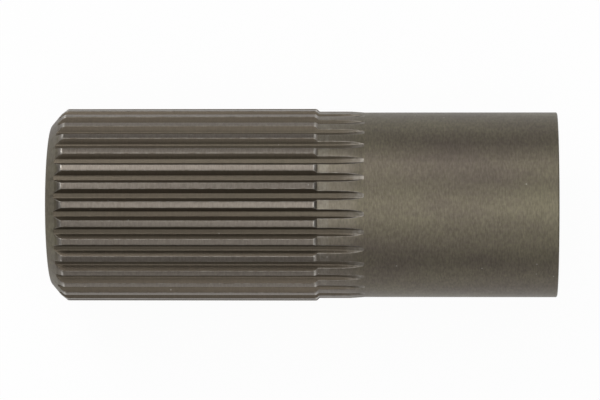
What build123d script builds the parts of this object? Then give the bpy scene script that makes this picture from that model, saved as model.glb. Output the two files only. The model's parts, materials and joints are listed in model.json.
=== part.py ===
from build123d import *

import os
from math import acos, cos, degrees, pi, radians, sin, sqrt, tan

# Half shaft: the splined end of a driving axle's inner shaft, turned from one steel bar and hobbed.
# Lengths are in millimetres. The shaft lies along X: the centre of the splined end face is the
# origin, +X runs up the shaft to the plain end, and +Z is up. A space between two teeth faces
# straight down, so that the shaft lies on two teeth.

# Involute spline to DIN 5480, named by its reference diameter, module and number of teeth
reference_diameter = 42.0
module = 1.25
pressure_angle = radians(30.0)
root_fillet_radius = 0.35
hob_radius = 50.0

# What the standard takes off the reference diameter on a hobbed shaft, in modules
off_pitch_diameter = 1.1
off_tip_diameter = 0.2
off_root_diameter = 2.3

# Nose, with radial distances from the tooth roots: a lead-in cone, then a bevel on the tooth ends
end_face_below_root = 2.35
lead_in_above_root = 0.25
lead_in_length = 2.2
nose_length = 3.5
end_face_edge_radius = 1.0
tooth_corner_radius = 0.8

# Turned outline, with lengths from the splined end face
overall_length = 110.0
full_tooth_length = 57.8
step_length = 0.6
land_diameter = 40.6
land_length = 65.2
land_taper_length = 3.0
shank_diameter = 40.2
shank_edge_break = 0.2

# How far the hob's marks reach on to the shank, past the land's taper
runout_past_land = 0.2

# How far each cut is drawn past the metal that it takes away
cut_overshoot = 0.5

# Lathe centre in the splined end face, 60 degrees across the cone and 118 across the drill point
centre_mouth_diameter = 8.5
centre_pilot_diameter = 4.0
centre_pilot_length = 3.0
centre_cone_half_angle = radians(30.0)
drill_point_half_angle = radians(59.0)

# Spline sizes that follow from the standard
teeth = int(reference_diameter / module - off_pitch_diameter)
profile_shift = (reference_diameter - module * (teeth + off_pitch_diameter)) / 2
pitch_radius = module * teeth / 2
base_radius = pitch_radius * cos(pressure_angle)
tip_radius = (reference_diameter - off_tip_diameter * module) / 2
root_radius = (reference_diameter - off_root_diameter * module) / 2
pitch_tooth_thickness = module * pi / 2 + 2 * profile_shift * tan(pressure_angle)

# Turned radii and places along the shaft
end_face_radius = root_radius - end_face_below_root
lead_in_radius = root_radius + lead_in_above_root
land_radius = land_diameter / 2
shank_radius = shank_diameter / 2
shank_start = land_length + land_taper_length


def involute(angle):
    """Involute function of a pressure angle in radians."""
    return tan(angle) - angle


def half_space_angle(radius):
    """Half of the angle, seen from the shaft's axis, of the space between two teeth at a radius."""
    half_tooth_at_pitch = pitch_tooth_thickness / (2 * pitch_radius)
    half_tooth = half_tooth_at_pitch + involute(pressure_angle) - involute(acos(base_radius / radius))
    return pi / teeth - half_tooth


def flank_point(radius, side):
    """Point of a space's flank in the shaft's cross-section, for the space that faces down."""
    angle = side * half_space_angle(radius)
    return Vector(radius * sin(angle), -radius * cos(angle))


def flank(side, outer_radius, rounded, involute_points=4):
    """Root corner and involute flank, from the root out to a radius, on a side (-1 or 1) of the space.

    The corner is rounded or, where the hob leaves and a round one would need many small faces, flat.
    """
    corner = flank_point(root_radius, side)
    along_root = Vector(-side, 0)
    up_flank = (flank_point(root_radius + root_fillet_radius, side) - corner).normalized()
    half_corner = radians(along_root.get_angle(up_flank)) / 2
    setback = root_fillet_radius / tan(half_corner)
    on_root = corner + along_root * setback
    on_flank = corner + up_flank * setback
    eased_corner = Bezier(on_root, corner, on_flank) if rounded else Line(on_root, on_flank)
    step = (outer_radius - on_flank.length) / (involute_points - 1)
    radii = [on_flank.length + step * i for i in range(1, involute_points)]
    return eased_corner + Spline(on_flank, *[flank_point(radius, side) for radius in radii])


def space_profile(at_x, rounded):
    """Cross-section of the space between two teeth, in the plane across the shaft at a place on X."""
    left = flank(-1, tip_radius + cut_overshoot, rounded)
    right = flank(1, tip_radius + cut_overshoot, rounded)
    root = Line(left @ 0, right @ 0)
    mouth = Line(left @ 1, right @ 1)
    return Plane.YZ.offset(at_x) * make_face(left + root + right + mouth)


def hob_cut():
    """Metal that the hob takes out of one space: a straight run, then the arc on which it leaves."""
    rise_at_exit = max(shank_radius - root_radius, 0)
    arc_length_on_x = sqrt(hob_radius**2 - (hob_radius - rise_at_exit) ** 2)
    arc_start = shank_start + runout_past_land - arc_length_on_x
    straight = extrude(space_profile(arc_start, rounded=True), amount=-(arc_start + cut_overshoot))
    rise_to_clear = max(tip_radius, land_radius, shank_radius) + cut_overshoot - root_radius
    arc = degrees(acos(1 - rise_to_clear / hob_radius))
    hob_axis = Axis((arc_start, 0, -(root_radius + hob_radius)), (0, 1, 0))
    leaving = revolve(space_profile(arc_start, rounded=False), axis=hob_axis, revolution_arc=arc)
    return straight + leaving


def turned_blank():
    """The shaft as it comes from the lathe, with its lathe centre and before the teeth are cut."""
    mouth_radius = centre_mouth_diameter / 2
    pilot_radius = centre_pilot_diameter / 2
    cone_depth = (mouth_radius - pilot_radius) / tan(centre_cone_half_angle)
    pilot_depth = cone_depth + centre_pilot_length
    point_depth = pilot_depth + pilot_radius / tan(drill_point_half_angle)
    outline = Polyline(
        (point_depth, 0),
        (pilot_depth, pilot_radius),
        (cone_depth, pilot_radius),
        (0, mouth_radius),
        (0, end_face_radius),
        (lead_in_length, lead_in_radius),
        (nose_length, tip_radius),
        (full_tooth_length, tip_radius),
        (full_tooth_length + step_length, land_radius),
        (land_length, land_radius),
        (shank_start, shank_radius),
        (overall_length - shank_edge_break, shank_radius),
        (overall_length, shank_radius - shank_edge_break),
        (overall_length, 0),
        close=True,
    )
    half_section = make_face(outline)
    end_face_corner = half_section.vertices().sort_by_distance((0, end_face_radius))[0]
    half_section = fillet(end_face_corner, end_face_edge_radius)
    tooth_corner = half_section.vertices().sort_by_distance((nose_length, tip_radius))[0]
    half_section = fillet(tooth_corner, tooth_corner_radius)
    return revolve(half_section, axis=Axis.X)


def half_shaft():
    """The finished shaft: the turned blank less one hob cut for each space between teeth."""
    cut = hob_cut()
    cuts = [Rot(X=360 * i / teeth) * cut for i in range(teeth)]
    return turned_blank() - cuts


shaft = half_shaft()
shaft.label = "half_shaft"
os.makedirs("parts", exist_ok=True)
export_step(shaft, "parts/half_shaft.step")

print("teeth", teeth, "tip", round(2 * tip_radius, 3), "root", round(2 * root_radius, 3))
print("volume cm3", round(shaft.volume / 1000, 2), "valid", shaft.is_valid)
print("centre of mass on X", round(shaft.center(CenterOf.MASS).X, 2))
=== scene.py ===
# %% [markdown]
# # A half shaft, from one tooth to a finished part
# The real object is the splined end of a driving axle's half shaft: one bar of steel, turned on a
# lathe, with 32 teeth cut along it by a hob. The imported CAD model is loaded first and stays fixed.
# Everything here is in metres, in the model's own frame: the shaft lies along X, with the middle of
# its splined end face at the origin.

import json
from math import acos, atan2, cos, hypot, pi, radians, sin, sqrt, tan

import bpy
from mathutils import Matrix, Vector


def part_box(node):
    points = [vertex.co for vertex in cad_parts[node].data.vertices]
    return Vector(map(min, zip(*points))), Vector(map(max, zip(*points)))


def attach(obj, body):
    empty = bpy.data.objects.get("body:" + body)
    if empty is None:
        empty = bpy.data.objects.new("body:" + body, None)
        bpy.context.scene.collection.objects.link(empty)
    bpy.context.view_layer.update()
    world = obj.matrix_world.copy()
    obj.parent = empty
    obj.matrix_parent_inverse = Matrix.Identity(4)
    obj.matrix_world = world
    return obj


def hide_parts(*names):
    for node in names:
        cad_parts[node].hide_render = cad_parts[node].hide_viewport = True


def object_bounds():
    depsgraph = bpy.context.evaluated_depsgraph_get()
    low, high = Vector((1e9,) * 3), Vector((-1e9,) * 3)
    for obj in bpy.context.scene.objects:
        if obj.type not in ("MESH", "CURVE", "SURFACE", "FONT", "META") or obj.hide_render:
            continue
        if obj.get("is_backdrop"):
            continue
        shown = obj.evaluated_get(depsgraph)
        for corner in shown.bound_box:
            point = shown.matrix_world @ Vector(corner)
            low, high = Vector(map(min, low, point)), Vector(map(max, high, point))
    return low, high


MM = 0.001

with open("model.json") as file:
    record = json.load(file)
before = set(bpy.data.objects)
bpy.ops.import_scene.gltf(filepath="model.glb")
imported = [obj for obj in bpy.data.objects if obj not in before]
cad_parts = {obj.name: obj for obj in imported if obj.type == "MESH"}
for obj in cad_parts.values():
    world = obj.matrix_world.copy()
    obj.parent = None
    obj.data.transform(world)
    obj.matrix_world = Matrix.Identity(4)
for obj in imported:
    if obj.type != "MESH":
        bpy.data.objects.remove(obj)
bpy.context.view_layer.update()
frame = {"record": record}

# %% [markdown]
# ## Sizes
# The spline follows DIN 5480, so its diameters come from a reference diameter and a module, and the
# standard says how many modules each lies below the reference. The turned outline's sizes are
# lengths from the splined end face. The overall length and the shank's radius are read from the
# frame, so that the dressed shaft always fits the CAD model.

# %% Sizes of the spline
TEETH = 32
MODULE = 1.25 * MM
PRESSURE_ANGLE = radians(30)
REFERENCE_DIAMETER = 42 * MM
MODULES_OFF_PITCH, MODULES_OFF_TIP, MODULES_OFF_ROOT = 1.1, 0.2, 2.3
TIP_RADIUS = (REFERENCE_DIAMETER - MODULES_OFF_TIP * MODULE) / 2
ROOT_RADIUS = (REFERENCE_DIAMETER - MODULES_OFF_ROOT * MODULE) / 2
PITCH_RADIUS = MODULE * TEETH / 2
BASE_RADIUS = PITCH_RADIUS * cos(PRESSURE_ANGLE)
PROFILE_SHIFT = (REFERENCE_DIAMETER - MODULE * (TEETH + MODULES_OFF_PITCH)) / 2
TOOTH_THICKNESS = MODULE * pi / 2 + 2 * PROFILE_SHIFT * tan(PRESSURE_ANGLE)
PITCH_ANGLE = 2 * pi / TEETH
ROOT_FILLET = 0.45 * MM
HOB_RADIUS = 50 * MM
print("tip and root diameters in mm:", round(2 * TIP_RADIUS / MM, 3), round(2 * ROOT_RADIUS / MM, 3))

# %% Sizes of the turned outline
mounts = {mount["name"]: mount for mount in frame["record"]["mounts"]}
box_low, box_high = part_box("half_shaft")

LENGTH = box_high.x - box_low.x
SHANK_RADIUS = mounts["shank"]["dims"]["r_mm"] * MM
END_FACE_RADIUS = ROOT_RADIUS - 2.35 * MM
LEAD_IN_RADIUS = ROOT_RADIUS + 0.25 * MM
LEAD_IN_LENGTH = 2.2 * MM
NOSE_LENGTH = 3.5 * MM
FULL_TOOTH_LENGTH = 57.8 * MM
STEP_LENGTH = 0.6 * MM
STEP_END = FULL_TOOTH_LENGTH + STEP_LENGTH
LAND_RADIUS = 20.3 * MM
LAND_LENGTH = 65.2 * MM
LAND_TAPER_LENGTH = 3.0 * MM
SHANK_START = LAND_LENGTH + LAND_TAPER_LENGTH
RUNOUT_END = SHANK_START + 0.2 * MM
SHANK_EDGE_BREAK = 0.2 * MM
print("length and shank diameter in mm:", round(LENGTH / MM, 2), round(2 * SHANK_RADIUS / MM, 2))

# %% [markdown]
# ## The lathe's outline
# On the lathe the shaft is a stack of cylinders and cones. Real corners are never sharp: the tool's
# nose, a file or wear rounds them, and that rounding is what catches the light. So the outline is a
# short list of corners, each with the radius of its rounding, and one function turns each corner
# into a few points of a curve. The first and the last corner only show which way the end faces run,
# so they are taken off the result.

# %% Round the outline's corners
NOSE_ROUNDING = 1.0 * MM
TOOTH_END_ROUNDING = 0.8 * MM
STEP_ROUNDING = 0.3 * MM
TAPER_ROUNDING = 5.0 * MM
BREAK_ROUNDING = 0.12 * MM
CORNER_PIECES = 4


def round_off(start, corner, end, t):
    """Point of the curve that rounds a corner, a share t of the way from its start to its end."""
    return start * (1 - t) ** 2 + corner * 2 * t * (1 - t) + end * t**2


def rounded(corners):
    """Points of an outline of (x, radius, rounding) corners, with each rounded corner as a curve."""
    points = []
    for before, corner, after in zip([None] + corners[:-1], corners, corners[1:] + [None]):
        here = Vector(corner[:2])
        if corner[2] == 0 or before is None or after is None:
            points.append(tuple(here))
            continue
        back = Vector(before[:2]) - here
        on = Vector(after[:2]) - here
        trim = corner[2] * tan((pi - back.angle(on)) / 2)
        start = here + back.normalized() * trim
        end = here + on.normalized() * trim
        points += [tuple(round_off(start, here, end, i / CORNER_PIECES)) for i in range(CORNER_PIECES + 1)]
    return points


outline = rounded([
    (0, 0.5 * END_FACE_RADIUS, 0),
    (0, END_FACE_RADIUS, NOSE_ROUNDING),
    (LEAD_IN_LENGTH, LEAD_IN_RADIUS, NOSE_ROUNDING),
    (NOSE_LENGTH, TIP_RADIUS, TOOTH_END_ROUNDING),
    (FULL_TOOTH_LENGTH, TIP_RADIUS, STEP_ROUNDING),
    (STEP_END, LAND_RADIUS, STEP_ROUNDING),
    (LAND_LENGTH, LAND_RADIUS, TAPER_ROUNDING),
    (SHANK_START, SHANK_RADIUS, TAPER_ROUNDING),
    (LENGTH - SHANK_EDGE_BREAK, SHANK_RADIUS, BREAK_ROUNDING),
    (LENGTH, SHANK_RADIUS - SHANK_EDGE_BREAK, BREAK_ROUNDING),
    (LENGTH, 0.5 * SHANK_RADIUS, 0),
])[1:-1]


def outline_radius(x):
    """Radius of the turned outline at a place along the shaft."""
    for (x0, r0), (x1, r1) in zip(outline, outline[1:]):
        if x0 <= x <= x1 and x1 > x0:
            return r0 + (r1 - r0) * (x - x0) / (x1 - x0)
    return outline[-1][1]


print("points of the turned outline:", len(outline))

# %% [markdown]
# ## The space between two teeth
# A hob cuts spaces, and the teeth are what it leaves. Half of one space, from the middle of its
# floor, is a flat, a small fillet and an involute flank. Each point is kept as how far it lies
# sideways from the middle and how high above the floor. The flank is drawn a little past the tooth's
# tip, so that it always meets the turned outline.

# %% Half of one space, as sideways and upward distances
FLOOR_COLUMNS, FILLET_COLUMNS, FLANK_COLUMNS = 3, 4, 5
FLANK_OVERSHOOT = 0.3 * MM


def half_space_angle(radius):
    """Half of the angle that the space between two teeth spans at a radius, from the involute."""
    def involute(angle):
        return tan(angle) - angle
    half_tooth_at_pitch = TOOTH_THICKNESS / (2 * PITCH_RADIUS)
    half_tooth = half_tooth_at_pitch + involute(PRESSURE_ANGLE) - involute(acos(BASE_RADIUS / radius))
    return pi / TEETH - half_tooth


def flank_point(radius):
    """The involute flank at a radius: sideways from the middle of the space, and above its floor."""
    angle = half_space_angle(radius)
    return Vector((radius * sin(angle), radius * cos(angle) - ROOT_RADIUS))


root_corner = flank_point(ROOT_RADIUS)
up_flank = (flank_point(ROOT_RADIUS + ROOT_FILLET) - root_corner).normalized()
setback = ROOT_FILLET / tan(Vector((-1, 0)).angle(up_flank) / 2)
fillet_start = root_corner - Vector((setback, 0))
fillet_end = root_corner + up_flank * setback
flank_start = hypot(fillet_end.x, ROOT_RADIUS + fillet_end.y)
flank_top = TIP_RADIUS + FLANK_OVERSHOOT

floor = [fillet_start * i / FLOOR_COLUMNS for i in range(FLOOR_COLUMNS)]
fillet = [round_off(fillet_start, root_corner, fillet_end, i / FILLET_COLUMNS)
          for i in range(FILLET_COLUMNS + 1)]
flank = [flank_point(flank_start + (flank_top - flank_start) * i / FLANK_COLUMNS)
         for i in range(1, FLANK_COLUMNS + 1)]
half_space = floor + fillet + flank
LAST_COLUMN = len(half_space) - 1
print("columns of half a space:", len(half_space), "floor in mm:", round(2 * fillet_start.x / MM, 3))

# %% [markdown]
# ## Where the hob leaves the metal
# The hob is a disc of cutters. It runs straight along the shaft, and at the end of its travel it
# leaves a floor that rises on the disc's own radius until it comes out of the shank. The same rise
# lifts the flanks, so the groove narrows to a blunt end. `lift` is that rise, and `space_point`
# gives a point of the lifted space in the plane across the shaft.

# %% The space at any place along the shaft
exit_rise = SHANK_RADIUS - ROOT_RADIUS
ARC_START = RUNOUT_END - sqrt(HOB_RADIUS**2 - (HOB_RADIUS - exit_rise) ** 2)


def lift(x, height):
    """How far the hob's arc has raised a point of the space that was at this height above the floor."""
    along = max(x - ARC_START, 0)
    radius = HOB_RADIUS - height
    return radius - sqrt(radius**2 - along**2)


def space_point(x, column):
    """Angle from the middle of the space, and radius, of a column of the space; 2.5 is between two."""
    index = min(int(column), LAST_COLUMN - 1)
    side, height = half_space[index].lerp(half_space[index + 1], column - index)
    up = ROOT_RADIUS + height + lift(x, height)
    return atan2(side, up), hypot(side, up)


print("the floor starts to rise at", round(ARC_START / MM, 2), "mm and ends at", round(RUNOUT_END / MM, 2))

# %% [markdown]
# ## Where a groove starts and ends
# There is a groove where the hob's floor lies below the turned outline. The two places where its
# depth is zero have no simple formula, so they are found by halving: the middle of a stretch takes
# the place of its low end or of its high end, again and again. Near the blunt end the floor is
# lightened with a painted highlight, and the function below says how much, for the material to read.

# %% Find both ends of a groove
# Painted highlight on the groove's floor near its blunt end.
RUNOUT_HIGHLIGHT = 0.4
RUNOUT_HIGHLIGHT_LENGTH = 6.5 * MM
HALVINGS = 40


def solve(function, low, high):
    """Where a function that rises from below zero at low to above zero at high is zero."""
    for _ in range(HALVINGS):
        middle = (low + high) / 2
        low, high = (middle, high) if function(middle) < 0 else (low, middle)
    return (low + high) / 2


def groove_depth(x):
    """Depth of the groove at the edge of its floor, or below zero where there is no groove."""
    return outline_radius(x) - space_point(x, FLOOR_COLUMNS)[1]


groove_start = solve(groove_depth, 0, NOSE_LENGTH)
groove_end = solve(lambda x: -groove_depth(x), ARC_START, RUNOUT_END)


def runout_highlight(x):
    """How much a painted highlight lightens the floor near the blunt end of a groove."""
    along = 1 - (groove_end - x) / RUNOUT_HIGHLIGHT_LENGTH
    return RUNOUT_HIGHLIGHT * along**2 if 0 < along < 1 else 0


print("a groove runs from", round(groove_start / MM, 2), "mm to", round(groove_end / MM, 2))

# %% [markdown]
# ## One ring
# The mesh is built as rings across the shaft. Seen in one ring, the surface runs from the middle of
# a space along its floor, up the flank, round the tooth's edge and over the top to the tooth's
# middle. Every ring has the same columns, so rings join with plain quads. Where the groove is
# shallower than the flank is high, the columns that would stick out gather at the groove's edge, and
# where there is no groove they all lie on the turned outline. A tooth's edge is rounded and rubbed,
# and its colour is lightened by wear and a painted highlight, most in its middle; all of it fades out
# with the groove.

# %% One ring, from the middle of a space to the middle of a tooth
EDGE_ROUNDING = 0.12 * MM
LEAST_EDGE = 0.005 * MM
EDGE_SHARE_OF_DEPTH = 0.4
# A tooth edge's colour is lightened by wear and by a painted highlight.
EDGE_WEAR_AND_HIGHLIGHT = 0.4
EDGE_COLUMNS, TOP_COLUMNS = 4, 2
CLOSEST_COLUMNS = 0.02
LEAST_FLANK_END = FLOOR_COLUMNS - 0.5


def column_on_outline(x, column):
    """Angle and radius of a column where there is no groove, straight on from the groove's end."""
    floor_radius = min(ROOT_RADIUS + lift(x, 0), SHANK_RADIUS)
    index = min(int(column), LAST_COLUMN - 1)
    side = half_space[index].lerp(half_space[index + 1], column - index).x
    return atan2(side, floor_radius), outline_radius(x)


def half_ring(x):
    """Points (angle, radius, wear and painted highlight) across half a pitch, from the middle of the space
    to the tooth's.
    """
    radius, depth = outline_radius(x), groove_depth(x)
    edge = max(min(EDGE_ROUNDING, EDGE_SHARE_OF_DEPTH * depth), LEAST_EDGE)
    place, meeting, wear_and_highlight = column_on_outline, FLOOR_COLUMNS, 0
    if depth > LEAST_EDGE:
        place, wear_and_highlight = space_point, EDGE_WEAR_AND_HIGHLIGHT * edge / EDGE_ROUNDING
        meeting = solve(lambda c: space_point(x, c)[1] - radius, FLOOR_COLUMNS, LAST_COLUMN)
    index = min(int(meeting), LAST_COLUMN - 1)
    column_width = (half_space[index + 1] - half_space[index]).length
    flank_end = max(meeting - edge / column_width, LEAST_FLANK_END)
    columns = [min(k, flank_end - (LAST_COLUMN - k) * CLOSEST_COLUMNS) for k in range(LAST_COLUMN + 1)]
    points = [(*place(x, column), runout_highlight(x)) for column in columns]
    edge_start = Vector(points[-1][:2])
    edge_corner = Vector((place(x, meeting)[0], radius))
    edge_end = Vector((edge_corner.x + edge / radius, radius))
    for t in (i / EDGE_COLUMNS for i in range(1, EDGE_COLUMNS + 1)):
        points.append((*round_off(edge_start, edge_corner, edge_end, t), wear_and_highlight * 4 * t * (1 - t)))
    for i in range(1, TOP_COLUMNS + 1):
        points.append((edge_end.x + (PITCH_ANGLE / 2 - edge_end.x) * i / TOP_COLUMNS, radius, 0))
    return points


print("columns across a pitch:", 2 * len(half_ring(FULL_TOOTH_LENGTH / 2)) - 1)

# %% [markdown]
# ## Where the rings go
# A straight cylinder needs a ring only at each end. Rings are added where something changes along
# the shaft: at the outline's corners and beside the worn ones with their painted highlight, at both
# ends of the rubbed part of the land, down the bevel of the nose, where each groove starts and ends,
# and along the hob's arc.

# %% Places of the rings along the shaft
BEVEL_RINGS = 6
ARC_RINGS = 15
LEAST_STEP = 0.001 * MM
# Corners whose colour is lightened by wear and by a painted highlight.
WORN_AND_HIGHLIGHTED_CORNERS = (NOSE_LENGTH, FULL_TOOTH_LENGTH)
CORNER_REACH = 0.35 * MM
RUBBED_LAND = (STEP_END + 0.3 * MM, STEP_END + 2.6 * MM)

floor_start = solve(lambda x: outline_radius(x) - ROOT_RADIUS, 0, NOSE_LENGTH)
floor_end = solve(lambda x: space_point(x, 0)[1] - outline_radius(x), ARC_START, RUNOUT_END + MM)


def spread(start, end, count):
    """Places from start to end, evenly spaced."""
    return [start + (end - start) * i / count for i in range(count + 1)]


outline_places = [x for x, radius in outline]
bevel_end = min(x for x in outline_places if x > NOSE_LENGTH - MM)
beside_worn_and_highlighted = [place + side * CORNER_REACH for place in WORN_AND_HIGHLIGHTED_CORNERS + RUBBED_LAND for side in (-1, 1)]
places = sorted(set(outline_places + beside_worn_and_highlighted + [floor_start, floor_end]
                    + spread(groove_start, bevel_end, BEVEL_RINGS)
                    + spread(ARC_START, groove_end, ARC_RINGS)))
places = [x for x, after in zip(places, places[1:] + [2 * LENGTH]) if after - x > LEAST_STEP]
print("rings along the shaft:", len(places))

# %% [markdown]
# ## The rings of one pitch
# A ring of one pitch is half a ring and its mirror image. Each point also keeps how much its colour
# is lightened: by wear and a painted highlight on the tooth edges and the turned corners that stand
# out, by wear on a faint band of the land, and by a painted highlight near the hob's last marks. The
# material reads that as an attribute. The lathe centre, a small 60 degree hole that the shaft was
# turned on, needs fewer columns than the teeth, so it has rings of its own.

# %% Rings of one pitch, from the bottom of the lathe centre to the plain end
LAND_WEAR = 0.1
CENTRE_COLUMNS = 3
CENTRE_MOUTH_RADIUS = 4.25 * MM
CENTRE_PILOT_RADIUS = 2 * MM
CENTRE_CONE_DEPTH = 3.9 * MM
CENTRE_PILOT_DEPTH = 6.7 * MM
CENTRE_POINT_DEPTH = 7.9 * MM
CENTRE_ROUNDING = 0.3 * MM


def corner_wear_and_highlight(x):
    """How much a ring is lightened: by wear and a painted highlight near the turned corners that stand out,
    and by wear on the rubbed band of the land.
    """
    at_corners = max(max(1 - abs(x - corner) / CORNER_REACH, 0) for corner in WORN_AND_HIGHLIGHTED_CORNERS)
    on_land = LAND_WEAR if RUBBED_LAND[0] <= x <= RUBBED_LAND[1] else 0
    return max(at_corners, on_land)


def fine_ring(x):
    """Points (x, angle, radius, wear and painted highlight) of a ring across one pitch, with the tooth in
    the middle.
    """
    half = half_ring(x)
    whole = half + [(PITCH_ANGLE - angle, radius, wear_and_highlight) for angle, radius, wear_and_highlight in half[-2::-1]]
    top = outline_radius(x) - EDGE_ROUNDING
    return [(x, angle, radius, max(wear_and_highlight, corner_wear_and_highlight(x) * (radius > top))) for angle, radius, wear_and_highlight in whole]


def coarse_ring(x, radius):
    """Points of a ring of the lathe centre, or its one point on the axis."""
    if radius == 0:
        return [(x, 0, 0, 0)]
    return [(x, angle, radius, 0) for angle in spread(0, PITCH_ANGLE, CENTRE_COLUMNS)]


centre_outline = rounded([
    (CENTRE_POINT_DEPTH, 0, 0),
    (CENTRE_PILOT_DEPTH, CENTRE_PILOT_RADIUS, 0),
    (CENTRE_CONE_DEPTH, CENTRE_PILOT_RADIUS, CENTRE_ROUNDING),
    (0, CENTRE_MOUTH_RADIUS, CENTRE_ROUNDING),
    (0, 0.5 * END_FACE_RADIUS, 0),
])[:-1]
rings = [coarse_ring(x, radius) for x, radius in centre_outline]
rings += [fine_ring(x) for x in places]
rings += [coarse_ring(LENGTH, 0)]
print("rings in all:", len(rings))

# %% [markdown]
# ## The mesh of one pitch
# Rings of equal length join with quads. Elsewhere one many-sided face does it: at the point of the
# lathe centre, where its last ring meets the first fine one, and over the plain end. Each face also
# keeps whether the hob or the lathe cut it, because the two left different finishes.

# %% Join the rings into the mesh of one pitch
def is_hobbed(ring, i):
    """Whether the face after point i of a ring is in a groove, below the turned outline."""
    x = ring[i][0]
    in_groove = min(ring[i][2], ring[i + 1][2]) < outline_radius(x) - LEAST_EDGE
    return bool(groove_start < x < groove_end + LEAST_EDGE and in_groove)


def join_rings(name, rings):
    """Mesh of all the rings: quads between rings of equal length, and one face between other ones."""
    points, wear_and_highlight, faces, hobbed, before = [], [], [], [], []
    for ring in rings:
        now = range(len(points), len(points) + len(ring))
        for x, angle, radius, worn_and_highlight in ring:
            points.append((x, radius * sin(angle), -radius * cos(angle)))
            wear_and_highlight.append(worn_and_highlight)
        if len(now) == len(before):
            for i in range(len(now) - 1):
                faces.append((before[i], before[i + 1], now[i + 1], now[i]))
                hobbed.append(is_hobbed(ring, i))
        elif before:
            faces.append((*before, *reversed(now)))
            hobbed.append(False)
        before = now
    mesh = bpy.data.meshes.new(name)
    mesh.from_pydata(points, [], faces)
    mesh.attributes.new("wear_and_highlight", "FLOAT", "POINT").data.foreach_set("value", wear_and_highlight)
    mesh.attributes.new("hobbed", "BOOLEAN", "FACE").data.foreach_set("value", hobbed)
    mesh.validate()
    return mesh


pitch_mesh = join_rings("one_pitch", rings)
print("faces in one pitch:", len(pitch_mesh.polygons))

# %% [markdown]
# ## Helpers for node trees
# A tree of nodes is easier to read as two lists: its nodes, each with its values, and the joins
# between their sockets. These three helpers let every tree below be written that way, and the last
# one starts a node group with named inputs, so that its numbers can be changed from outside.

# %% Add a node, join sockets, and start a group
EDITOR_STEP = 200


def add_node(tree, kind, place, values=None, **settings):
    """A new node of a tree, at a place in its editor, with its settings and its inputs' values."""
    node = tree.nodes.new(kind)
    node.location = (place[0] * EDITOR_STEP, place[1] * -EDITOR_STEP)
    for name, setting in settings.items():
        setattr(node, name, setting)
    for socket, value in (values or {}).items():
        node.inputs[socket].default_value = value
    return node


def join(tree, *joins):
    """Join pairs of sockets of a tree."""
    for outlet, inlet in joins:
        tree.links.new(outlet, inlet)


def new_group(name, tree_kind, inputs, outputs):
    """A new node group with its sockets, and its input and output nodes."""
    group = bpy.data.node_groups.new(name, tree_kind)
    for label, kind, *value in inputs:
        socket = group.interface.new_socket(label, in_out="INPUT", socket_type="NodeSocket" + kind)
        if value:
            socket.default_value = value[0]
    for label, kind in outputs:
        group.interface.new_socket(label, in_out="OUTPUT", socket_type="NodeSocket" + kind)
    return group, add_node(group, "NodeGroupInput", (0, 0)), add_node(group, "NodeGroupOutput", (10, 0))

# %% [markdown]
# ## 32 teeth from one
# Geometry Nodes repeat the pitch. The tree puts a copy on each of 32 points that all lie at the
# origin, turns each copy about X by its share of a full turn, makes the copies real, and welds the
# seams. The number of copies, the weld's distance and the two finishes are named inputs, so the
# same tree can turn another part's pitch into a whole.

# %% The tree that turns copies about the shaft
def build_turned_copies():
    """Geometry Nodes tree: copies of the mesh turned about X, welded, with two finishes."""
    tree, start, end = new_group(
        "Turned copies", "GeometryNodeTree",
        [("Pitch", "Geometry"), ("Teeth", "Int"), ("Weld Distance", "Float"),
         ("Turned Finish", "Material"), ("Hobbed Finish", "Material")],
        [("Shaft", "Geometry")])
    points = add_node(tree, "GeometryNodePoints", (1, 0))
    index = add_node(tree, "GeometryNodeInputIndex", (0, 1))
    share = add_node(tree, "ShaderNodeMath", (1, 1), operation="DIVIDE")
    angle = add_node(tree, "ShaderNodeMath", (2, 1), {1: 2 * pi}, operation="MULTIPLY")
    turn = add_node(tree, "FunctionNodeAxisAngleToRotation", (3, 1), {"Axis": (1, 0, 0)})
    copies = add_node(tree, "GeometryNodeInstanceOnPoints", (4, 0))
    real = add_node(tree, "GeometryNodeRealizeInstances", (5, 0))
    weld = add_node(tree, "GeometryNodeMergeByDistance", (6, 0))
    smooth = add_node(tree, "GeometryNodeSetShadeSmooth", (7, 0))
    turned = add_node(tree, "GeometryNodeSetMaterial", (8, 0))
    hobbed = add_node(tree, "GeometryNodeSetMaterial", (9, 0))
    in_groove = add_node(tree, "GeometryNodeInputNamedAttribute", (8, 1), {"Name": "hobbed"},
                         data_type="BOOLEAN")
    join(tree,
         (start.outputs["Teeth"], points.inputs["Count"]),
         (index.outputs["Index"], share.inputs[0]),
         (start.outputs["Teeth"], share.inputs[1]),
         (share.outputs[0], angle.inputs[0]),
         (angle.outputs[0], turn.inputs["Angle"]),
         (points.outputs[0], copies.inputs["Points"]),
         (start.outputs["Pitch"], copies.inputs["Instance"]),
         (turn.outputs[0], copies.inputs["Rotation"]),
         (copies.outputs[0], real.inputs[0]),
         (real.outputs[0], weld.inputs["Geometry"]),
         (start.outputs["Weld Distance"], weld.inputs["Distance"]),
         (weld.outputs[0], smooth.inputs["Geometry"]),
         (smooth.outputs[0], turned.inputs["Geometry"]),
         (start.outputs["Turned Finish"], turned.inputs["Material"]),
         (turned.outputs[0], hobbed.inputs["Geometry"]),
         (in_groove.outputs["Attribute"], hobbed.inputs["Selection"]),
         (start.outputs["Hobbed Finish"], hobbed.inputs["Material"]),
         (hobbed.outputs[0], end.inputs["Shaft"]))
    return tree


turned_copies = build_turned_copies()
print("nodes in the tree:", len(turned_copies.nodes))

# %% [markdown]
# ## Finishes as node groups
# The whole shaft is one steel, but it has two finishes: the lathe left fine marks round the shaft,
# and the hob left the grooves plainer, and their colour is darker. Both finishes share the same
# effects, so each effect is a node group with its own inputs, placed in each material with its own
# values. All of them read the place on the object, so the pattern stays on the steel from every side.
#
# ### Turning marks
# A lathe tool leaves fine marks round the shaft. Noise that is squeezed along X, so that it changes
# about three times as fast along the shaft as round it, gives short marks of uneven strength. A
# second, slower noise makes the steel smoother in some places than in others, because real marks are
# never even.

# %% Node group: turning marks
SLOWER = (0.18, 0.6, 0.6)


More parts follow.
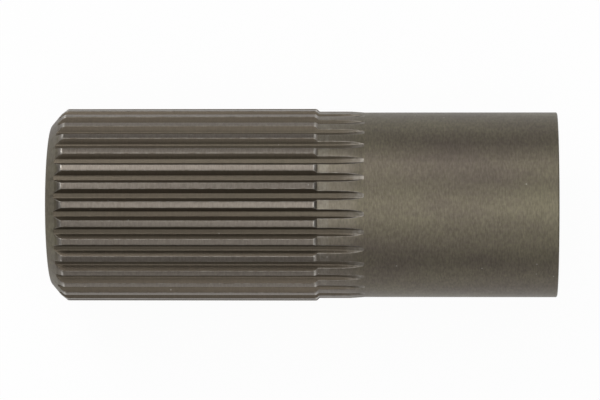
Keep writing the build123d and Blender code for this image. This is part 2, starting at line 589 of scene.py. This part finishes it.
def build_turning_marks():
    """Marks round the shaft: Height for colour and bump, and Streak, a slower one for roughness."""
    group, start, end = new_group(
        "Turning marks", "ShaderNodeTree",
        [("Position", "Vector"), ("Rings Per Metre", "Float", 3000.0), ("Round", "Float", 900.0)],
        [("Height", "Float"), ("Streak", "Float")])
    scale = add_node(group, "ShaderNodeCombineXYZ", (1, 1))
    squeezed = add_node(group, "ShaderNodeVectorMath", (2, 0), operation="MULTIPLY")
    rings = add_node(group, "ShaderNodeTexNoise", (3, 0), {"Scale": 1, "Detail": 2})
    slower = add_node(group, "ShaderNodeVectorMath", (3, 2), {1: SLOWER}, operation="MULTIPLY")
    streaks = add_node(group, "ShaderNodeTexNoise", (4, 2), {"Scale": 1, "Detail": 3})
    join(group,
         (start.outputs["Rings Per Metre"], scale.inputs["X"]),
         (start.outputs["Round"], scale.inputs["Y"]),
         (start.outputs["Round"], scale.inputs["Z"]),
         (start.outputs["Position"], squeezed.inputs[0]),
         (scale.outputs[0], squeezed.inputs[1]),
         (squeezed.outputs[0], rings.inputs["Vector"]),
         (squeezed.outputs[0], slower.inputs[0]),
         (slower.outputs[0], streaks.inputs["Vector"]),
         (rings.outputs["Fac"], end.inputs["Height"]),
         (streaks.outputs["Fac"], end.inputs["Streak"]))
    return group


turning_marks = build_turning_marks()
print("nodes of the turning marks:", len(turning_marks.nodes))

# %% [markdown]
# ### Mottling
# Oil and a thin brown oxide dry on steel in clouds, which are longer along this shaft than round it.
# Two noises, one broad and drawn out along X and one fine, are mixed and given more contrast, and
# the result blends two colours of the same metal.

# %% Node group: mottling
DRAWN_OUT = (0.45, 1, 1)


def build_mottling():
    """Cloudy mask from 0 to 1: broad patches broken up by fine grain."""
    group, start, end = new_group(
        "Mottling", "ShaderNodeTree",
        [("Position", "Vector"), ("Patches Per Metre", "Float", 55.0),
         ("Grains Per Metre", "Float", 1500.0), ("Graininess", "Float", 0.25)],
        [("Mask", "Float")])
    drawn_out = add_node(group, "ShaderNodeVectorMath", (1, 0), {1: DRAWN_OUT}, operation="MULTIPLY")
    broad = add_node(group, "ShaderNodeTexNoise", (2, 0), {"Detail": 4, "Roughness": 0.6})
    fine = add_node(group, "ShaderNodeTexNoise", (2, 1), {"Detail": 2})
    mixed = add_node(group, "ShaderNodeMix", (4, 0))
    contrast = add_node(group, "ShaderNodeMapRange", (6, 0), {"From Min": 0.32, "From Max": 0.68},
                        interpolation_type="SMOOTHSTEP")
    join(group,
         (start.outputs["Position"], drawn_out.inputs[0]),
         (drawn_out.outputs[0], broad.inputs["Vector"]),
         (start.outputs["Position"], fine.inputs["Vector"]),
         (start.outputs["Patches Per Metre"], broad.inputs["Scale"]),
         (start.outputs["Grains Per Metre"], fine.inputs["Scale"]),
         (start.outputs["Graininess"], mixed.inputs["Factor"]),
         (broad.outputs["Fac"], mixed.inputs["A"]),
         (fine.outputs["Fac"], mixed.inputs["B"]),
         (mixed.outputs["Result"], contrast.inputs["Value"]),
         (contrast.outputs["Result"], end.inputs["Mask"]))
    return group


mottling = build_mottling()
print("nodes of the mottling:", len(mottling.nodes))

# %% [markdown]
# ### Worn edges and painted highlights
# Edges that stand out are rubbed by hands, racks and other parts, and their colour is lightened
# further as a painted highlight. The mesh says where they are, and where a painted highlight lightens
# the hob's last marks, in its wear attribute. Noise breaks the line up so that it isn't an even stripe.

# %% Node group: worn edges
def build_worn_edges_and_highlights():
    """Mask of rubbed edges and painted highlights, from the wear that the mesh carries and a noise that
    breaks it up.
    """
    group, start, end = new_group(
        "Worn edges and highlights", "ShaderNodeTree",
        [("Position", "Vector"), ("Wear", "Float", 0.0), ("Nicks Per Metre", "Float", 900.0)],
        [("Mask", "Float")])
    noise = add_node(group, "ShaderNodeTexNoise", (2, 1), {"Detail": 3})
    broken = add_node(group, "ShaderNodeMapRange", (4, 1), {"From Min": 0.2, "From Max": 0.75})
    mask = add_node(group, "ShaderNodeMath", (6, 0), operation="MULTIPLY")
    join(group,
         (start.outputs["Position"], noise.inputs["Vector"]),
         (start.outputs["Nicks Per Metre"], noise.inputs["Scale"]),
         (noise.outputs["Fac"], broken.inputs["Value"]),
         (start.outputs["Wear"], mask.inputs[0]),
         (broken.outputs["Result"], mask.inputs[1]),
         (mask.outputs[0], end.inputs["Mask"]))
    return group


worn_edges_and_highlights = build_worn_edges_and_highlights()
print("nodes of the worn edges:", len(worn_edges_and_highlights.nodes))

# %% [markdown]
# ### Specks with painted glints
# Here and there a chip or a grain of dust catches the light, and that glint is painted into the
# colour. The distance to the nearest point of a Voronoi texture is small only in a few places of the
# surface, and a narrow range of it gives small round dots that are far apart.

# %% Node group: specks
def build_glint_specks():
    """Mask of small painted glints, each fading from 0.6 in its middle to 0 at its rim."""
    group, start, end = new_group(
        "Glint specks", "ShaderNodeTree",
        [("Position", "Vector"), ("Cells Per Metre", "Float", 230.0), ("Share Of Cell", "Float", 0.05)],
        [("Mask", "Float")])
    cells = add_node(group, "ShaderNodeTexVoronoi", (2, 0))
    dot = add_node(group, "ShaderNodeMapRange", (4, 0), {"To Min": 0.6, "To Max": 0})
    join(group,
         (start.outputs["Position"], cells.inputs["Vector"]),
         (start.outputs["Cells Per Metre"], cells.inputs["Scale"]),
         (cells.outputs["Distance"], dot.inputs["Value"]),
         (start.outputs["Share Of Cell"], dot.inputs["From Max"]),
         (dot.outputs["Result"], end.inputs["Mask"]))
    return group


glint_specks = build_glint_specks()
print("nodes of the specks:", len(glint_specks.nodes))

# %% [markdown]
# ### Above a radius
# The tops of the teeth are brighter and smoother than the shank, and the land lies between the two.
# A mask that reads the distance from the shaft's axis finds them, with no need to paint them: it is
# 0 on the shank, 1 on the tops, and between them on the land.

# %% Node group: mask above a radius
ACROSS_THE_SHAFT = (0, 1, 1)


def build_above_radius():
    """Mask that rises from 0 to 1 between two distances from the shaft's axis."""
    group, start, end = new_group(
        "Above radius", "ShaderNodeTree",
        [("Position", "Vector"), ("Low", "Float", 0.0), ("High", "Float", 1.0)],
        [("Mask", "Float")])
    across = add_node(group, "ShaderNodeVectorMath", (2, 0), {1: ACROSS_THE_SHAFT}, operation="MULTIPLY")
    radius = add_node(group, "ShaderNodeVectorMath", (4, 0), operation="LENGTH")
    mask = add_node(group, "ShaderNodeMapRange", (6, 0))
    join(group,
         (start.outputs["Position"], across.inputs[0]),
         (across.outputs[0], radius.inputs[0]),
         (radius.outputs["Value"], mask.inputs["Value"]),
         (start.outputs["Low"], mask.inputs["From Min"]),
         (start.outputs["High"], mask.inputs["From Max"]),
         (mask.outputs["Result"], end.inputs["Mask"]))
    return group


above_radius = build_above_radius()
print("node groups:", sorted(group.name for group in bpy.data.node_groups))

# %% [markdown]
# ## The two finishes
# Both materials are a Principled BSDF that is mostly metallic. What differs is the colours, how
# metallic and how rough they are, and how strong the turning marks are. The colour is built up in
# layers, each blended over the last one by a group's mask: two colours of clouds, the tops, the
# rubbed edges with their painted highlights and the specks with their painted glints. The turning
# marks then make all of it a little lighter and darker: a noise mostly stays between 0.3 and 0.7, so
# that range is stretched to the contrast that is asked for. Constants sit on the shader's own
# sockets, and only what changes over the surface is linked.

# %% Place a group in a material, and blend a colour over another
def place_group(tree, kind, place, position, values=None):
    """A node group placed in a material, reading a position, with its own values."""
    node = add_node(tree, "ShaderNodeGroup", place, values, node_tree=kind)
    tree.links.new(position, node.inputs["Position"])
    return node


def blend(tree, place, group, below, above):
    """A blend of two colours, each a plain colour or a socket, by the mask of a group."""
    node = add_node(tree, "ShaderNodeMix", place, data_type="RGBA")
    tree.links.new(group.outputs["Mask"], node.inputs["Factor"])
    for socket, color in ((node.inputs["A"], below), (node.inputs["B"], above)):
        if isinstance(color, tuple):
            socket.default_value = (*color, 1)
        else:
            tree.links.new(color, socket)
    return node.outputs["Result"]

# %% Build a steel finish
NOISE_LOW, NOISE_HIGH = 0.3, 0.7
TOPS_RANGE = {"Low": SHANK_RADIUS + 0.05 * MM, "High": LAND_RADIUS + 0.2 * MM}


def steel(name, brown, olive, tops, worn_and_highlight, metallic, roughness, tops_roughness, rings_depth, contrast):
    """A steel finish: mottled colours, brighter tops, rubbed edges with painted highlights,
    specks with painted glints, and turning marks.
    """
    material = bpy.data.materials.new(name)
    material.use_nodes = True
    tree = material.node_tree
    shader = tree.nodes["Principled BSDF"]
    shader.inputs["Metallic"].default_value = metallic
    position = add_node(tree, "ShaderNodeTexCoord", (-8, 0)).outputs["Object"]
    wear_and_highlight = add_node(tree, "ShaderNodeAttribute", (-8, 2), attribute_name="wear_and_highlight")
    clouds = place_group(tree, mottling, (-6, 0), position)
    rings = place_group(tree, turning_marks, (-6, 1), position)
    rubbed_and_highlighted = place_group(tree, worn_edges_and_highlights, (-6, 2), position)
    on_tops = place_group(tree, above_radius, (-6, 3), position, TOPS_RANGE)
    glint_dots = place_group(tree, glint_specks, (-6, 4), position)

    color = blend(tree, (-5, 0), clouds, olive, brown)
    color = blend(tree, (-4, 0), on_tops, color, tops)
    color = blend(tree, (-3, 0), rubbed_and_highlighted, color, worn_and_highlight)
    # Painted glints: small dots in the light steel colour.
    color = blend(tree, (-2, 0), glint_dots, color, worn_and_highlight)
    shade = add_node(tree, "ShaderNodeMapRange", (-3, 1),
                     {"From Min": NOISE_LOW, "From Max": NOISE_HIGH,
                      "To Min": 1 - contrast, "To Max": 1 + contrast})
    shaded = add_node(tree, "ShaderNodeHueSaturation", (-1, 0))
    rough = add_node(tree, "ShaderNodeMapRange", (-4, 2), {"To Min": roughness[0], "To Max": roughness[1]})
    smoother = add_node(tree, "ShaderNodeMix", (-2, 2), {"B": tops_roughness})
    bump = add_node(tree, "ShaderNodeBump", (-2, 3), {"Distance": rings_depth, "Strength": 1})
    join(tree,
         (wear_and_highlight.outputs["Fac"], rubbed_and_highlighted.inputs["Wear"]),
         (rings.outputs["Height"], shade.inputs["Value"]),
         (shade.outputs["Result"], shaded.inputs["Value"]),
         (color, shaded.inputs["Color"]),
         (shaded.outputs["Color"], shader.inputs["Base Color"]),
         (rings.outputs["Streak"], rough.inputs["Value"]),
         (rough.outputs["Result"], smoother.inputs["A"]),
         (on_tops.outputs["Mask"], smoother.inputs["Factor"]),
         (smoother.outputs["Result"], shader.inputs["Roughness"]),
         (rings.outputs["Height"], bump.inputs["Height"]),
         (bump.outputs["Normal"], shader.inputs["Normal"]))
    return material


# Light steel colour for worn edges, and for painted highlights on edges, corners and groove ends and
# painted glints.
BRIGHT_WEAR_AND_HIGHLIGHT = (0.52, 0.50, 0.46)
# The grooves are coloured darker than the turned steel.
DARK_GROOVE_BROWN = (0.087, 0.070, 0.051)
turned_steel = steel("turned_steel", brown=(0.112, 0.094, 0.077), olive=(0.154, 0.139, 0.096),
                     tops=(0.146, 0.127, 0.107), worn_and_highlight=BRIGHT_WEAR_AND_HIGHLIGHT, metallic=0.92, roughness=(0.42, 0.54),
                     tops_roughness=0.34, rings_depth=0.004 * MM, contrast=0.15)
hobbed_steel = steel("hobbed_steel", brown=DARK_GROOVE_BROWN, olive=(0.093, 0.078, 0.056),
                     tops=DARK_GROOVE_BROWN, worn_and_highlight=BRIGHT_WEAR_AND_HIGHLIGHT, metallic=0.75, roughness=(0.34, 0.44),
                     tops_roughness=0.4, rings_depth=0.002 * MM, contrast=0.08)
print("materials:", turned_steel.name, hobbed_steel.name)

# %% [markdown]
# ## Make the shaft
# The modifier's inputs are set by their identifiers before the object is first evaluated. Weighted
# Normal then lets large faces keep their true direction, so flats shade flat right up to the small
# rounding of their edges. The evaluated result becomes a plain mesh with no modifier left on it.

# %% Run the tree and keep its result as a plain mesh
WELD_DISTANCE = 0.0002 * MM


def set_input(modifier, name, value):
    """Set an input of a Geometry Nodes modifier by its socket's identifier."""
    sockets = modifier.node_group.interface.items_tree
    identifier = next(socket.identifier for socket in sockets if socket.name == name)
    modifier[identifier] = value


pitch_mesh.materials.append(turned_steel)
shaft = bpy.data.objects.new("splined_shaft", pitch_mesh)
bpy.context.scene.collection.objects.link(shaft)
copies = shaft.modifiers.new("Turned copies", "NODES")
copies.node_group = turned_copies
set_input(copies, "Teeth", TEETH)
set_input(copies, "Weld Distance", WELD_DISTANCE)
set_input(copies, "Turned Finish", turned_steel)
set_input(copies, "Hobbed Finish", hobbed_steel)
normals = shaft.modifiers.new("Weighted normals", "WEIGHTED_NORMAL")
normals.weight = 100

evaluated = shaft.evaluated_get(bpy.context.evaluated_depsgraph_get())
finished_mesh = bpy.data.meshes.new_from_object(evaluated)
shaft.modifiers.clear()
shaft.data = finished_mesh
triangles = sum(len(face.vertices) - 2 for face in finished_mesh.polygons)
print("triangles:", triangles, "materials:", [material.name for material in finished_mesh.materials])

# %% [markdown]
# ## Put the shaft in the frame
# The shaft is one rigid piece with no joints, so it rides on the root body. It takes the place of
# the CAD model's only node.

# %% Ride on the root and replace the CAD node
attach(shaft, "root")
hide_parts("half_shaft")
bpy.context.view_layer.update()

# %% [markdown]
# ## Floor
# A product photo of a part like this is taken on a white sheet. The floor is a large plane that the
# teeth lie on. Seen directly, or in the metal, it is mostly plain white, and the small part of it
# that is lit like any surface keeps the shaft's soft shadow.

# %% A white floor that keeps the shadow
FLOOR_SIZE = 8.0
SHADOW_SHARE = 0.045


def white_sheet():
    """Material that is plain white to the camera and in reflections, but for a share that is lit."""
    material = bpy.data.materials.new("white_sheet")
    material.use_nodes = True
    tree = material.node_tree
    sheet = tree.nodes["Principled BSDF"]
    sheet.inputs["Base Color"].default_value = (0.9, 0.9, 0.9, 1)
    sheet.inputs["Roughness"].default_value = 0.9
    sheet.inputs["Specular IOR Level"].default_value = 0
    white = add_node(tree, "ShaderNodeEmission", (0, 1), {"Color": (1, 1, 1, 1), "Strength": 1})
    rays = add_node(tree, "ShaderNodeLightPath", (-4, 1))
    seen = add_node(tree, "ShaderNodeMath", (-3, 1), operation="MAXIMUM")
    seen_or_through = add_node(tree, "ShaderNodeMath", (-2, 1), operation="MAXIMUM")
    share = add_node(tree, "ShaderNodeMath", (-1, 1), {1: 1 - SHADOW_SHARE}, operation="MULTIPLY")
    both = add_node(tree, "ShaderNodeMixShader", (2, 0))
    join(tree,
         (rays.outputs["Is Camera Ray"], seen.inputs[0]),
         (rays.outputs["Is Glossy Ray"], seen.inputs[1]),
         (seen.outputs[0], seen_or_through.inputs[0]),
         (rays.outputs["Is Transmission Ray"], seen_or_through.inputs[1]),
         (seen_or_through.outputs[0], share.inputs[0]),
         (share.outputs[0], both.inputs["Fac"]),
         (sheet.outputs[0], both.inputs[1]),
         (white.outputs[0], both.inputs[2]),
         (both.outputs[0], tree.nodes["Material Output"].inputs["Surface"]))
    return material


def build_floor():
    """Square floor under the teeth."""
    half, height = FLOOR_SIZE / 2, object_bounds()[0].z
    mesh = bpy.data.meshes.new("floor")
    corners = [(-half, -half, height), (half, -half, height), (half, half, height), (-half, half, height)]
    mesh.from_pydata(corners, [], [(0, 1, 2, 3)])
    mesh.materials.append(white_sheet())
    floor_object = bpy.data.objects.new("floor", mesh)
    bpy.context.scene.collection.objects.link(floor_object)
    return floor_object


build_floor()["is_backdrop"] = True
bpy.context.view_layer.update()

# %% [markdown]
# ## Light
# Metal shows what is around it, so a plain scene for metal is a few large soft lamps and a grey
# room. The brightness of an area lamp is written as a luminance, where 1 looks as bright as white
# paper, and its power follows from its area. The lamps are invisible to the camera, and the metal
# still reflects them.

# %% Soft lamps round the shaft
POWER_PER_LUMINANCE = 4
ROOM_GREY = 0.27
middle = Vector((LENGTH / 2, 0, 0))


def leaning(to_left, to_back):
    """Direction that leans from straight up by angles in degrees, to the left and to the back."""
    return Vector((-tan(radians(to_left)), tan(radians(to_back)), 1))


def soft_lamp(name, towards, distance, width, height, luminance):
    """Rectangular area lamp in a direction from the shaft's middle, facing it."""
    data = bpy.data.lights.new(name, "AREA")
    data.shape = "RECTANGLE"
    data.size, data.size_y = width, height
    data.energy = POWER_PER_LUMINANCE * width * height * luminance
    lamp = bpy.data.objects.new(name, data)
    lamp.location = middle + towards.normalized() * distance
    lamp.rotation_euler = (middle - lamp.location).to_track_quat("-Z", "Y").to_euler()
    lamp.visible_camera = False
    bpy.context.scene.collection.objects.link(lamp)


soft_lamp("overhead", leaning(-6, -10), distance=0.8, width=0.50, height=0.48, luminance=2.0)
soft_lamp("key", leaning(8, 45), distance=0.8, width=0.60, height=0.29, luminance=2.25)
soft_lamp("fill", leaning(0, -50), distance=0.8, width=0.60, height=0.40, luminance=0.8)
soft_lamp("left", leaning(36, 44), distance=0.7, width=0.12, height=0.90, luminance=4.0)

world = bpy.data.worlds.new("room")
world.use_nodes = True
world.node_tree.nodes["Background"].inputs["Color"].default_value = (ROOM_GREY, ROOM_GREY, ROOM_GREY, 1)
bpy.context.scene.world = world

# %% [markdown]
# ## Camera
# The photo looks down on the lying shaft, a little from the front: one tooth, half a pitch forward
# of the top, faces the lens. The lens is long, and it stands nearer to the plain end than to the
# middle, which is why the splined end face isn't seen.

# %% Place the camera
LENS = 237.65
CAMERA_DISTANCE = 0.863
CAMERA_X = 84.2 * MM
AIM_X = 54.1 * MM
AIM_ABOVE_AXIS = 1.04 * MM

toward_camera = Vector((0, -sin(PITCH_ANGLE / 2), cos(PITCH_ANGLE / 2)))
picture_up = Vector((0, toward_camera.z, -toward_camera.y))
camera_place = Vector((CAMERA_X, 0, 0)) + toward_camera * CAMERA_DISTANCE
aim = Vector((AIM_X, 0, 0)) + picture_up * AIM_ABOVE_AXIS

back = (camera_place - aim).normalized()
right = picture_up.cross(back).normalized()
up = back.cross(right)
camera_data = bpy.data.cameras.new("camera")
camera_data.lens = LENS
camera = bpy.data.objects.new("camera", camera_data)
camera.matrix_world = Matrix((
    (right.x, up.x, back.x, camera_place.x),
    (right.y, up.y, back.y, camera_place.y),
    (right.z, up.z, back.z, camera_place.z),
    (0, 0, 0, 1),
))
bpy.context.scene.collection.objects.link(camera)
bpy.context.scene.camera = camera
bpy.context.scene.view_settings.view_transform = "Standard"
print("camera at, in mm:", [round(v / MM, 1) for v in camera_place])
